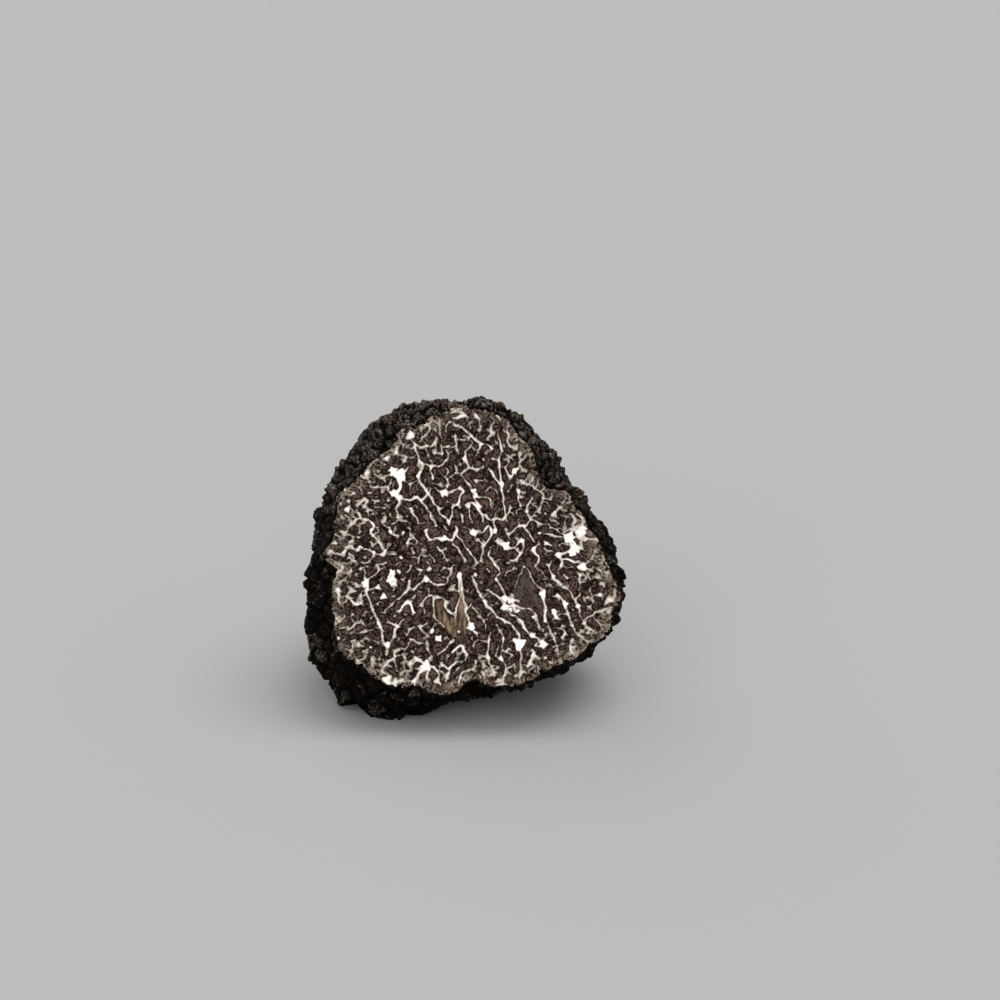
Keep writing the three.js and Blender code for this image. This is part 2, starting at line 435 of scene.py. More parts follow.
# %% Main veins above the hub, on the right
VEINS_UPPER_RIGHT = [
    (0.24, (-5.0, 24.5), (-4.5, 25.9), (-2.2, 25.2), (0.2, 23.4), (1.9, 21.7), (1.1, 19.7)),
    (0.22, (-0.5, 21.1), (-1.3, 19.0), (-0.4, 17.0), (-2.0, 15.8), (-0.8, 14.2), (1.2, 11.5), (3.9, 10.8)),
    (0.22, (-0.4, 17.0), (1.5, 16.6)),
    (0.22, (1.9, 21.7), (3.3, 21.7), (4.2, 20.8)),
    (0.18, (4.5, 26.0), (3.5, 22.9)),
    (0.24, (5.3, 24.7), (6.0, 20.8), (5.6, 18.0), (6.1, 13.8), (6.6, 10.3), (6.9, 7.3)),
    (0.26, (3.7, 17.2), (4.7, 15.1), (5.7, 13.8)),
    (0.26, (0.4, 11.6), (1.4, 9.8), (2.0, 8.0), (4.5, 6.7), (6.8, 7.2), (8.0, 9.1)),
    (0.20, (-0.5, 9.3), (0.1, 6.1)),
    (0.24, (-0.6, 5.1), (0.4, 4.3), (2.4, 4.3), (3.4, 5.4), (4.2, 3.8), (2.4, 1.1), (2.1, -1.4)),
    (0.22, (4.5, 6.7), (5.0, 4.2)),
    (0.22, (6.8, 5.0), (7.7, 3.9), (9.3, 5.3), (10.4, 5.3), (12.1, 6.5), (14.1, 5.9)),
    (0.22, (10.4, 5.3), (12.8, 2.2)),
    (0.24, (12.1, 6.5), (11.1, 8.4), (12.0, 10.8)),
    (0.20, (9.3, 12.6), (9.9, 9.1)),
    (0.22, (10.2, 14.4), (13.9, 12.1), (14.4, 11.0), (13.6, 8.7), (14.1, 7.9)),
    (0.20, (13.6, 3.9), (15.2, 3.8), (18.8, 2.8)),
    (0.16, (15.9, 5.2), (18.0, 4.1), (20.0, 4.8)),
    (0.22, (13.6, 1.8), (12.5, 0.9), (13.2, -0.3), (13.7, -1.7)),
    (0.26, (5.4, 2.5), (7.2, 1.3), (8.8, 1.5), (10.3, 2.8), (10.4, 0.6), (9.0, -1.3)),
    (0.20, (2.7, 12.3), (3.9, 13.3), (4.9, 12.7)),
    (0.24, (6.9, 16.9), (7.7, 15.3), (8.8, 16.4), (11.0, 19.7)),
    (0.16, (6.2, 20.5), (8.4, 18.5)),
    (0.24, (7.2, 24.0), (7.7, 21.5)),
    (0.24, (8.2, 23.4), (9.3, 24.0), (11.1, 22.4)),
]

# %% Main veins below the hub, on the left
VEINS_LOWER_LEFT = [
    (0.24, (-21.5, -3.1), (-20.9, -6.1), (-20.6, -9.0), (-18.3, -14.1), (-17.4, -18.0), (-16.3, -18.7)),
    (0.24, (-16.3, -18.7), (-15.4, -16.2), (-14.6, -14.6), (-13.4, -13.2)),
    (0.20, (-20.9, -5.9), (-18.8, -3.8), (-18.5, -2.4), (-16.8, -1.9)),
    (0.20, (-20.9, -7.2), (-18.3, -7.0)),
    (0.24, (-17.4, -11.9), (-14.2, -8.8), (-12.6, -7.2), (-12.3, -5.6)),
    (0.22, (-12.4, -7.1), (-11.2, -7.1), (-9.1, -5.2), (-6.6, -6.5), (-4.7, -5.6), (-3.8, -3.1)),
    (0.40, (-14.3, -11.5), (-12.6, -9.8), (-11.6, -11.9)),
    (0.24, (-16.5, -13.9), (-14.6, -14.6)),
    (0.18, (-14.6, -14.7), (-12.1, -15.2), (-10.3, -14.7), (-9.1, -17.5), (-8.2, -21.0), (-8.8, -22.4)),
    (0.16, (-12.3, -17.1), (-9.3, -18.5)),
    (0.24, (-8.8, -22.4), (-11.1, -21.0)),
    (0.26, (-8.6, -22.6), (-8.9, -25.1)),
    (0.45, (-9.0, -23.0), (-10.5, -24.4), (-12.1, -27.5)),
    (0.22, (-13.7, -20.3), (-16.5, -21.7), (-17.9, -24.0)),
    (0.24, (-6.6, -20.4), (-4.7, -18.7), (-3.3, -17.3)),
    (0.38, (-3.6, -19.8), (-2.0, -18.4), (-0.8, -20.3)),
    (0.28, (-5.7, -22.4), (-4.3, -23.0), (-2.9, -21.7)),
    (0.20, (-9.8, -10.5), (-9.1, -8.9), (-7.5, -9.0), (-7.3, -12.5), (-5.2, -14.8)),
    (0.26, (-7.0, -9.0), (-5.7, -9.0), (-4.3, -11.8), (-3.1, -11.6), (-2.3, -9.0), (-2.4, -4.7)),
    (0.18, (-3.0, -11.6), (-3.1, -14.1)),
    (0.34, (-26.6, -7.2), (-26.3, -10.0)),
    (0.34, (-24.8, -8.6), (-23.3, -10.1), (-21.9, -10.0)),
    (0.20, (-27.2, -14.4), (-25.4, -13.1)),
    (0.20, (-24.7, -15.7), (-23.3, -14.3), (-21.5, -14.1)),
    (0.20, (-23.6, -17.8), (-24.3, -20.6)),
    (0.22, (-23.7, -19.6), (-22.4, -22.0)),
    (0.18, (-12.1, -2.4), (-10.1, -3.4)),
    (0.22, (-2.2, -24.9), (-1.5, -23.7), (0.6, -23.3)),
]

# %% Main veins below the hub, on the right
VEINS_LOWER_RIGHT = [
    (0.30, (-2.1, -4.2), (-1.5, -9.0), (-0.4, -14.1), (1.1, -16.0)),
    (0.24, (0.3, -4.7), (1.9, -8.4), (4.9, -12.3), (7.9, -14.3), (9.7, -16.8), (9.9, -19.6), (10.0, -24.3)),
    (0.26, (3.4, -7.3), (6.1, -9.5), (6.7, -10.9)),
    (0.22, (3.5, -0.3), (5.5, -3.3), (5.3, -5.4), (7.0, -8.5)),
    (0.26, (7.0, -11.6), (10.0, -13.6), (11.1, -15.5), (14.6, -18.0)),
    (0.20, (10.9, -11.4), (12.0, -11.1), (13.1, -13.2)),
    (0.18, (8.8, -7.1), (10.0, -3.8), (10.9, -2.9), (12.7, -6.1), (14.3, -7.5)),
    (0.30, (14.3, -7.5), (14.7, -10.2), (15.0, -13.7)),
    (0.20, (15.0, -13.7), (16.9, -17.8), (17.2, -19.4)),
    (0.24, (15.7, -2.6), (16.5, -4.9), (19.8, -7.9), (21.4, -10.6), (22.4, -13.9), (24.5, -15.7)),
    (0.28, (22.4, -13.9), (24.7, -12.0), (27.0, -11.3)),
    (0.24, (17.3, -8.6), (18.7, -9.7), (20.5, -15.2), (23.3, -17.8)),
    (0.24, (12.5, 0.4), (13.6, -1.0), (13.0, -2.4)),
    (0.18, (6.8, -5.0), (7.2, -4.0), (8.6, -3.1)),
    (0.16, (21.7, -4.0), (21.7, -8.1), (21.0, -9.3)),
    (0.30, (17.5, -0.4), (18.2, -1.9), (18.0, -2.9)),
    (0.28, (18.2, -1.1), (21.7, -1.8)),
    (0.22, (22.6, -3.1), (22.8, -2.2), (24.2, -1.2), (24.7, 0.3)),
    (0.30, (12.0, -19.1), (12.5, -20.5), (11.3, -22.6)),
    (0.20, (5.1, -14.6), (6.6, -17.3), (6.5, -19.4), (8.6, -20.6)),
    (0.22, (3.9, -15.7), (3.4, -19.4), (3.4, -21.0), (4.7, -23.8)),
    (0.22, (6.1, -20.9), (7.0, -23.2), (6.2, -26.3)),
    (0.18, (1.7, -12.7), (3.0, -14.6), (2.6, -16.0)),
    (0.16, (0.6, -19.2), (1.2, -17.5), (3.4, -17.8)),
    (0.24, (27.0, -10.2), (28.8, -8.6)),
    (0.30, (19.2, 2.8), (20.6, 4.8), (22.4, 6.2)),
    (0.30, (19.8, 2.4), (20.2, 0.8), (21.4, 0.4)),
    (0.25, (22.2, 4.0), (22.0, 1.2)),
    (0.26, (6.9, -8.9), (8.2, -9.6), (9.6, -9.2)),
    (0.24, (7.2, -10.8), (8.8, -10.4), (10.2, -11.2)),
    (0.26, (8.3, -9.4), (8.8, -11.8)),
]

# %% Short veins, from top to bottom
SHORT_VEINS = [
    (0.32, (-4.6, 28.9), (-3.0, 28.8), (-1.7, 28.7)), (0.32, (-4.2, 28.1), (-2.8, 28.1), (-1.4, 28.0)),
    (0.36, (-3.9, 27.1), (-2.4, 27.2), (-1.2, 27.5)),
    (0.22, (5.7, 27.0), (5.9, 25.9)), (0.20, (1.6, 27.0), (1.9, 25.2)), (0.18, (-8.5, 24.3), (-7.7, 23.4)),
    (0.15, (-5.3, 18.5), (-4.5, 18.2)), (0.15, (-5.7, 17.7), (-4.9, 16.9)),
    (0.15, (-15.8, 15.9), (-16.7, 15.5), (-17.8, 15.0)), (0.16, (1.2, 14.5), (2.4, 14.6), (3.5, 14.1)),
    (0.18, (-13.2, 14.4), (-12.0, 13.9)), (0.20, (-21.5, 11.0), (-20.8, 10.3)),
    (0.18, (14.4, 11.0), (16.0, 11.0)), (0.18, (-20.1, 10.6), (-19.2, 10.3), (-18.2, 10.6)),
    (0.15, (-19.2, 10.3), (-19.0, 9.3)), (0.24, (16.6, 8.0), (18.0, 9.2)), (0.20, (2.0, 7.9), (2.6, 6.1)),
    (0.18, (-2.0, 7.7), (-1.5, 6.1)), (0.16, (-2.0, 7.7), (-1.3, 6.1)), (0.16, (6.9, 7.2), (7.7, 6.1)),
    (0.12, (-18.1, 6.4), (-17.1, 5.4), (-16.2, 5.0)), (0.24, (22.4, 5.7), (22.2, 7.3)),
    (0.14, (-2.2, 5.4), (-0.7, 4.9)), (0.20, (-16.3, 5.1), (-16.2, 4.2), (-15.4, 3.6)),
    (0.20, (20.6, 4.8), (20.8, 6.2)), (0.16, (7.7, 3.9), (7.7, 2.6)), (0.28, (22.8, 2.8), (25.1, 2.7)),
    (0.22, (14.3, 2.6), (15.0, 1.8), (16.2, 1.3)), (0.18, (7.4, 1.3), (7.3, 0.0)),
    (0.20, (-19.2, 0.1), (-19.3, -1.0)), (0.22, (-17.8, -0.4), (-17.1, 0.6)),
    (0.24, (17.8, -0.5), (19.2, 0.2), (19.8, 0.6)), (0.16, (-8.1, -0.5), (-7.0, -1.9)),
    (0.20, (8.8, -1.5), (10.4, 0.1)), (0.20, (-20.6, -1.6), (-19.6, -0.8), (-19.2, 0.1)),
    (0.18, (-9.0, -1.7), (-8.3, -2.6), (-8.3, -3.5)), (0.16, (-6.1, -1.9), (-5.3, -0.8)),
    (0.16, (-24.6, -2.0), (-22.9, -1.6)), (0.16, (-24.0, -2.0), (-24.0, -3.6)),
    (0.16, (-10.8, -2.3), (-10.0, -0.5)), (0.16, (10.9, -2.9), (10.4, -1.1)),
    (0.18, (3.0, -3.2), (3.8, -4.0)), (0.18, (14.1, -3.5), (14.6, -4.8)),
    (0.18, (-26.4, -3.8), (-25.6, -2.8)), (0.30, (18.6, -4.3), (19.9, -5.0)),
    (0.16, (24.0, -8.1), (24.5, -10.2)), (0.18, (-0.9, -11.2), (0.1, -10.1)),
    (0.36, (16.1, -11.3), (16.7, -12.0), (17.4, -13.1)), (0.16, (24.2, -12.5), (24.9, -13.5)),
    (0.18, (-10.3, -14.7), (-10.3, -13.2)), (0.16, (-10.3, -14.7), (-8.8, -14.0)),
    (0.20, (-12.1, -15.2), (-13.0, -16.5)), (0.22, (-22.2, -16.0), (-20.5, -15.5)),
    (0.26, (18.3, -16.9), (18.8, -15.7)), (0.14, (-22.2, -17.5), (-20.8, -17.1)),
    (0.36, (19.8, -18.3), (20.2, -19.8)), (0.14, (5.1, -19.1), (5.0, -20.6)),
    (0.16, (10.2, -22.4), (11.3, -22.6)), (0.24, (-8.9, -22.6), (-7.4, -22.9)),
    (0.20, (-4.3, -23.0), (-4.5, -24.2)), (0.16, (7.0, -23.2), (7.9, -22.7)),
]
long_veins = VEINS_UPPER_LEFT + VEINS_UPPER_RIGHT + VEINS_LOWER_LEFT + VEINS_LOWER_RIGHT
print(len(long_veins), "long veins and", len(SHORT_VEINS), "short ones")

# %% [markdown]
# Where veins meet or end they swell to white knots. Each knot is a small star, given by its radius
# and its middle, and the veins that run into it draw out its points.

# %% White knots
KNOTS = [
    (0.75, -12.1, 23.4), (0.6, -16.9, 19.0), (0.9, -15.6, 16.3), (1.05, -14.2, 15.8), (0.6, -13.7, 14.6),
    (0.75, -15.4, 11.9), (0.65, -14.4, 11.0), (0.75, -5.4, 11.9), (0.6, -20.7, 15.9), (0.6, -24.7, 8.8),
    (0.5, -27.2, 2.0), (0.5, -4.4, 6.1), (0.55, 6.0, 13.8), (0.5, 0.6, 12.4), (0.5, 1.5, 9.5),
    (0.75, 0.4, 4.2), (0.85, 7.2, 1.3), (0.5, 10.3, 2.6), (0.5, 14.9, 2.0), (0.6, 8.8, 16.4),
    (1.05, 19.8, 3.1), (1.0, 21.8, 3.9), (0.8, 22.3, 4.9), (1.05, 20.8, 0.9), (0.6, 22.9, 2.7),
    (0.65, -21.2, -6.1), (0.6, -16.7, -18.3), (0.7, -17.4, -8.7), (0.65, -9.1, -5.2), (0.85, -16.0, -5.3),
    (0.55, -15.3, -6.2), (0.65, -15.8, -3.8), (0.55, -14.4, -3.8), (1.05, -8.9, -22.6), (0.75, -6.5, -17.0),
    (0.6, -26.6, -7.6), (0.95, -16.7, -25.3), (0.85, -15.1, -25.8), (0.6, -14.0, -25.6), (0.7, -6.6, -25.6),
    (0.5, -2.4, -4.6), (0.5, 0.9, -4.3), (0.55, 2.8, -9.8), (0.7, 6.8, -8.9), (0.7, 6.8, -11.0),
    (1.15, 9.6, -18.1), (0.55, 12.3, -16.4), (0.85, 14.4, -18.3), (0.65, 14.3, -8.1), (0.65, 18.8, -10.2),
    (0.55, 16.6, -11.8), (0.75, 22.2, -2.8), (0.75, 20.3, 0.1), (0.6, 17.5, -0.4), (0.7, 27.6, -9.5),
    (0.55, 6.1, -21.1), (0.75, 0.0, -14.7), (0.5, 12.5, -20.4),
    (0.35, -4.4, 26.1), (0.45, -8.8, 25.7), (0.35, -1.3, 18.9), (0.4, -19.0, 18.8), (0.4, 2.4, 18.7),
    (0.3, -18.3, 16.3), (0.35, -10.7, 15.5), (0.3, -7.7, 15.0), (0.35, 1.2, 14.5), (0.4, -2.2, 13.1),
    (0.35, 9.4, 12.6), (0.45, -25.1, 12.6), (0.45, -23.6, 12.0), (0.45, 0.9, 11.5), (0.35, -10.7, 11.1),
    (0.35, 14.4, 11.0), (0.4, -24.3, 10.5), (0.3, -26.1, 9.7), (0.35, -0.5, 9.3), (0.35, 11.1, 8.3),
    (0.35, 14.8, 8.0), (0.4, -19.6, 5.9), (0.4, -20.0, 4.8), (0.4, -8.9, 4.6), (0.4, 4.8, 4.5),
    (0.4, -16.2, 4.2), (0.45, -13.6, 4.1), (0.4, 13.6, 3.9), (0.35, -22.4, 3.3), (0.4, -5.2, 3.1),
    (0.4, 12.5, 0.8), (0.4, -19.2, 0.1), (0.4, -13.9, -0.8), (0.4, -13.9, -0.9), (0.4, -8.4, -3.1),
    (0.35, -22.1, -3.2), (0.4, 16.4, -4.8), (0.4, 5.1, -5.5), (0.45, -18.5, -6.9), (0.45, 21.4, -10.6),
    (0.35, 12.5, -12.8), (0.4, 14.9, -13.6), (0.4, 22.4, -13.8), (0.4, -18.4, -13.9), (0.45, -7.7, -15.7),
    (0.4, -2.6, -15.8), (0.4, -26.6, -17.2), (0.35, -19.9, -18.9), (0.45, 3.4, -20.9), (0.4, 14.8, -21.2),
    (0.4, 7.6, -9.6), (0.35, 8.6, -10.6), (0.45, 9.4, -11.6), (0.3, 9.6, -9.8), (0.3, 8.2, -8.6),
    (0.3, 10.4, -11.2), (0.35, 7.9, -11.3),
]

# %% [markdown]
# A vein is a soft tube along its route. What a finish needs is how deep each point of the cut lies
# inside the nearest vein, so that the edge is sharp at any size and thick veins can be whiter.
# Adding up exponentials of that depth joins veins with rounded corners, as they grow together.

# %% Depth inside a vein
ROUTE_STEPS = 6  # straight pieces between two places of a route
END_WIDTH = 0.6  # width of a vein at its ends, as a share of its width halfway
JOIN = 8.0  # per mm: the smaller, the rounder the corners where veins meet
FAR = 2.5  # mm beyond which a vein is not felt
KNOT_HOLLOW = 0.85  # reach of a knot between its points, as a share of its radius
KNOT_POINT = 0.5  # how much further its points reach
KNOT_DRAW = 1


def bend_through(places):
    """A smooth route through a row of places, as many short straight pieces."""
    padded = np.vstack([places[:1], places, places[-1:]])
    t = (np.arange(ROUTE_STEPS) / ROUTE_STEPS)[None, :, None]
    spans = [padded[k:len(padded) - 3 + k, None] for k in range(4)]
    return np.vstack([smooth_curve(*spans, t).reshape(-1, 2), places[-1:]])


def depth_in_vein(place, route, half_width):
    """Half the vein's width less the distance to its route, at the piece of route where that is most.
    The width follows a half circle from one narrow end to the other."""
    piece = np.diff(route, axis=0)
    offset = place[:, None] - route[:-1]
    along = np.clip((offset * piece).sum(axis=-1) / (piece**2).sum(axis=-1), 0, 1)
    distance = np.linalg.norm(offset - along[..., None] * piece, axis=-1)
    halfway = 2 * (np.arange(len(piece)) + along) / len(piece) - 1
    width = half_width * (END_WIDTH + (1 - END_WIDTH) * np.sqrt(1 - halfway**2))
    return (width - distance).max(axis=1)


def depth_in_knot(place, number, radius, *knot_middle):
    """Distance inside a star of three to five points: the radius falls off steeply from each point to
    the hollow side between two, as one less the sine does."""
    x, y = (place - knot_middle).T
    points = 3 + number % 3
    turn = np.arctan2(y, x) * points / 2 + np.pi * scatter(number, KNOT_DRAW)
    return radius * (KNOT_HOLLOW + KNOT_POINT * (1 - np.abs(np.sin(turn)))) - np.hypot(x, y)


def depth_in_marbling(place, veins, knots):
    """Depth in veins and knots together: the logarithm of their summed exponentials, scaled back."""
    total = np.full(len(place), np.exp(-JOIN * FAR))
    for half_width, *places in veins:
        route = bend_through(np.array(places))
        near = np.all((place > route.min(axis=0) - FAR) & (place < route.max(axis=0) + FAR), axis=1)
        total[near] += np.exp(JOIN * depth_in_vein(place[near], route, half_width))
    for number, knot in enumerate(knots):
        total += np.exp(JOIN * depth_in_knot(place, number, *knot))
    return np.log(total) / JOIN


# %% [markdown]
# Three more marks belong to the cut. A light brown hollow opens below the hub, where the flesh came
# apart into two points, a grey-brown patch lies to the right of it, and another lies under the pale
# flake at the top of the rim. They use the same tubes as the veins, only wider.

# %% Hollow and patches
HOLLOWS = [
    (1.0, (-6.3, -9.7), (-5.9, -12.0), (-4.6, -14.2), (-3.0, -16.2)),
    (0.9, (-2.0, -8.4), (-1.9, -11.0), (-1.5, -13.5), (-1.5, -16.4)),
    (1.1, (-4.4, -13.6), (-1.6, -14.2)),
]
PALE_PATCHES = [
    (1.2, (10.8, -4.0), (11.0, -6.5), (11.6, -9.5)),
    (1.0, (10.0, -7.0), (8.8, -9.5), (8.4, -11.0)),
    (1.2, (8.2, -10.6), (10.2, -11.4), (12.2, -10.4)),
    (1.0, (-4.2, 28.2), (-1.8, 28.0)),
]

# %% [markdown]
# Some veins end in two short prongs. Between the veins the flesh is full of short twigs, some of them
# faint, and close to the rim there are more. These follow a rule: one is tried at each place of
# a shaken grid, and stays if it is within the given zone from the rim and no vein is near. It points
# away from the hub, more or less, and many of those near a vein grow out of it.

# %% Prongs
PRONG_LENGTHS = (0.5, 1.1)
PRONG_TURN = 0.8  # radians, away from the vein's own way
PRONG_WIDTH = 0.5  # as a share of the vein's
PRONG_SHARE = 0.3  # of the ends that have prongs
PRONG_DRAWS = np.array([12, 13])  # for the lengths at a vein's first end
PRONG_SHARE_DRAW = 16


def grow_prongs(veins):
    """Two short straight veins at some of the ends of the veins, turned to either side of their way."""
    made = []
    for number, (half_width, *places) in enumerate(veins):
        for which, (end, before) in enumerate([places[:2], places[:-3:-1]]):
            way = np.arctan2(end[1] - before[1], end[0] - before[0])
            lengths = np.interp(scatter(number, PRONG_DRAWS + 2 * which), (0, 1), PRONG_LENGTHS)
            turned = way + PRONG_TURN * np.array([-1, 1])
            spurs = np.array(end) + lengths[:, None] * np.stack([np.cos(turned), np.sin(turned)], axis=1)
            if scatter(number, PRONG_SHARE_DRAW + which) < PRONG_SHARE:
                made += [(PRONG_WIDTH * half_width, end, spur) for spur in spurs]
    return made


prongs = grow_prongs(long_veins)
main_veins = long_veins + SHORT_VEINS + prongs
print(len(prongs), "prongs")

# %% The rule for twigs
HUB = np.array([-1.0, -2.4])
OUTERMOST = 33.0  # half the width of the grid that twigs are tried on
TWIG_REACH = 2.0  # from a vein to a twig that may grow out of it
TWIG_SHARE = 0.6  # of the twigs within that reach that do
TWIG_SWAY = 1.3  # radians, away from the way out of the hub
SWAY_LENGTH = 6.0  # wavelength of that sway
TWIG_BOW = 0.6  # most that a twig bows, as a share of half its length

routes = np.vstack([bend_through(np.array(places)) for _, *places in long_veins + SHORT_VEINS])


def grow_twigs(spacing, clearance, zone, lengths, half_widths, seed):
    """Short bowed veins on a shaken grid: those that lie in the zone, from near to far from the rim,
    and clear of what is there already, and fewer of them the further in. Each runs from the hub
    outwards, turned by soft noise, and some start on the nearest vein."""
    draw = np.random.default_rng(seed)
    line = np.arange(-OUTERMOST, OUTERMOST, spacing)
    tried = np.stack(np.meshgrid(line, line), axis=-1).reshape(-1, 2)
    tried = tried + draw.uniform(-0.5, 0.5, tried.shape) * spacing
    inward = ring_radius(CUT_OUTLINE, np.arctan2(tried[:, 1], tried[:, 0])) - np.hypot(*tried.T)
    innermost = zone[0] + draw.random(len(tried)) * (zone[1] - zone[0])
    tried = tried[(inward > zone[0]) & (inward < innermost)]
    tried = tried[depth_in_marbling(tried, main_veins + HOLLOWS + PALE_PATCHES, KNOTS) < -clearance]
    way = np.arctan2(*(tried - HUB).T[::-1]) + TWIG_SWAY * ripple(tried, SWAY_LENGTH, seed)
    half_run = np.stack([np.cos(way), np.sin(way)], axis=1) * draw.uniform(*lengths, (len(tried), 1)) / 2
    bow = half_run[:, ::-1] * [-1, 1] * draw.uniform(-TWIG_BOW, TWIG_BOW, (len(tried), 1))
    root = routes[np.linalg.norm(tried[:, None] - routes, axis=-1).argmin(axis=1)]
    rooted = np.linalg.norm(tried - root, axis=1) < TWIG_REACH
    rooted &= draw.random(len(tried)) < TWIG_SHARE
    begin = np.where(rooted[:, None], root, tried - half_run)
    return list(zip(draw.uniform(*half_widths, len(tried)), begin, tried + bow, tried + half_run))


# %% Twigs
twigs = grow_twigs(
    spacing=1.4, clearance=0.6, zone=(2.5, 2 * OUTERMOST),
    lengths=(0.4, 1.6), half_widths=(0.05, 0.17), seed=7,
)
faint_twigs = grow_twigs(
    spacing=1.1, clearance=0.4, zone=(2.0, 3 * OUTERMOST),
    lengths=(0.8, 2.2), half_widths=(0.01, 0.09), seed=10,
)
margin_twigs = grow_twigs(
    spacing=1.3, clearance=0.35, zone=(0.3, 9.0),
    lengths=(0.3, 1.3), half_widths=(0.05, 0.24), seed=8,
)
rim_twigs = grow_twigs(
    spacing=1.2, clearance=0.2, zone=(-0.3, 3.5),
    lengths=(0.3, 1.0), half_widths=(0.02, 0.12), seed=9,
)
all_twigs = twigs + faint_twigs + margin_twigs + rim_twigs
print(len(twigs), "twigs,", len(faint_twigs), "faint,", len(margin_twigs + rim_twigs), "near the rim")

# %% [markdown]
# All places are bent a little by soft noise before their depth is worked out, so that no edge is
# drawn too clean.

# %% Marbling of the cut
WIDTH_WAVE = (0.05, 2.4, 72)  # how the veins swell and thin: height, wavelength and seed

shake = [layered(ripple, cut_place, (0.22, 2.2, 50 + k), (0.06, 0.9, 60 + k)) for k in range(2)]
shaken = cut_place + np.stack(shake, axis=1)
vein_depth = depth_in_marbling(shaken, main_veins + all_twigs, KNOTS)
vein_depth += layered(ripple, cut_place, WIDTH_WAVE)
hollow_depth = depth_in_marbling(shaken, HOLLOWS, [])
patch_depth = depth_in_marbling(shaken, PALE_PATCHES, [])
print("share of the cut that is vein:", (vein_depth > 0).mean().round(3))

# %% Relief of the cut
HOLLOW_PIT = 0.7  # depth of the hollow below the cut
VEIN_RISE = 0.05  # the veins are firmer, so the knife leaves them a little proud
VEIN_EDGE = (-0.1, 0.2)  # depths in a vein between which it rises
HOLLOW_EDGE = (-0.2, 0.7)  # depths in the hollow between which it sinks
RIM_EDGE = (0.0, 1.0)  # from the rim, where the relief begins and where it is at full height
KNIFE_WAVE = (0.05, 4.0, 70)  # low waves that the knife leaves: height, wavelength and seed

cut_height = VEIN_RISE * smooth_step(vein_depth, *VEIN_EDGE) + layered(ripple, cut_place, KNIFE_WAVE)
cut_height -= HOLLOW_PIT * smooth_step(hollow_depth, *HOLLOW_EDGE)
cut_height *= smooth_step(rim_distance, *RIM_EDGE)
cut_point = np.column_stack([cut_place, CUT_DISTANCE + cut_height])
print("relief of the cut in mm:", cut_height.min().round(2), "to", cut_height.max().round(2))

# %% [markdown]
# ## The mesh
#
# The points go from the truffle's own axes to the model's frame, what would be below the floor is
# pressed up to it, and the finish's facts are stored on the points: how deep in a vein, how far
# from the rim, how high on a wart. A stored number follows the surface into any export.

# %% Points in the frame
def on_points(on_cut, on_skin):
    """Numbers for all points: those of the cut, then those of the skin without its first row, the rim."""
    return np.concatenate([on_cut, on_skin[4 * SIDE:]])


def with_rim(on_skin):
    """Numbers of the skin for the points of the cut: its border shares the rim's row, the rest is 0."""
    on_cut = np.zeros(len(cut_place))
    on_cut[front[border]] = on_skin[:4 * SIDE]
    return on_cut


points = on_points(cut_point, skin_place) @ axes + middle
points[:, 2] = np.maximum(points[:, 2], 0)


# %% [markdown]
# A cell is drawn as two triangles, split from its first corner to its third. A vein or a ridge that
# crosses many splits looks like a saw, so the corners are turned by one wherever the other split
# joins two corners that are more alike.

# %% Splits along veins and ridges
def split_along(corners, level):
    """Cells with their corners turned by one where the second and fourth are closer in level than the
    first and third."""
    here = level[corners]
    turned = np.abs(here[:, 1] - here[:, 3]) < np.abs(here[:, 0] - here[:, 2])
    return np.where(turned[:, None], np.roll(corners, 1, axis=1), corners)


cut_cells = slice(0, SIDE**2)
skin_cells = slice(SIDE**2, None)
quads[cut_cells] = split_along(quads[cut_cells], vein_depth)
quads[skin_cells] = split_along(quads[skin_cells], on_points(with_rim(wart_height), wart_height))

# %% The mesh object
mesh = bpy.data.meshes.new("truffle_surface")
mesh.from_pydata((points * MM).tolist(), [], quads.tolist())
truffle = bpy.data.objects.new("truffle_surface", mesh)
bpy.context.scene.collection.objects.link(truffle)
print("points:", len(points), "lowest in mm:", points[:, 2].min().round(3))


# %% Facts on the points
def store(name, of_cut, of_skin):
    """One number for each point, kept under a name that the finishes read."""
    values = on_points(of_cut, of_skin).astype(np.float32)
    mesh.attributes.new(name, "FLOAT", "POINT").data.foreach_set("value", values)


SHADE_DRAW = 9

wart_shade = scatter(wart_number, SHADE_DRAW)
skyward = (skin_direction @ axes)[:, 2]
outside = np.full(len(skin_place), -FAR)
store("vein_depth", vein_depth, outside)
store("hollow_depth", hollow_depth, outside)
store("patch_depth", patch_depth, outside)
store("rim_distance", rim_distance, np.zeros(len(skin_place)))
store("wart_height", with_rim(wart_height), wart_height)
store("wart_shade", with_rim(wart_shade), wart_shade)
store("wart_turn", with_rim(wart_turn), wart_turn)
store("skyward", with_rim(skyward), skyward)

# %% Finishes by cell, smooth shading and a sharp rim
SKIN_SLOT = 0
FLESH_SLOT = 1

finish = np.full(len(quads), SKIN_SLOT, np.int32)
finish[cut_cells] = FLESH_SLOT
mesh.polygons.foreach_set("material_index", finish)
mesh.polygons.foreach_set("use_smooth", np.ones(len(quads), bool))

ends = np.empty(2 * len(mesh.edges), np.int32)
mesh.edges.foreach_get("vertices", ends)
on_rim = np.isin(ends, front[border]).reshape(-1, 2).all(axis=1)
mesh.attributes.new("sharp_edge", "BOOLEAN", "EDGE").data.foreach_set("value", on_rim)
mesh.update()
print("edges along the rim:", on_rim.sum())

# %% [markdown]
# ## Writing finishes as expressions
#
# A finish is a tree of shader nodes. Placed one by one they are hard to read, so a small class wraps
# a node's output, and sums and products of such wires add the Math nodes that work them out.


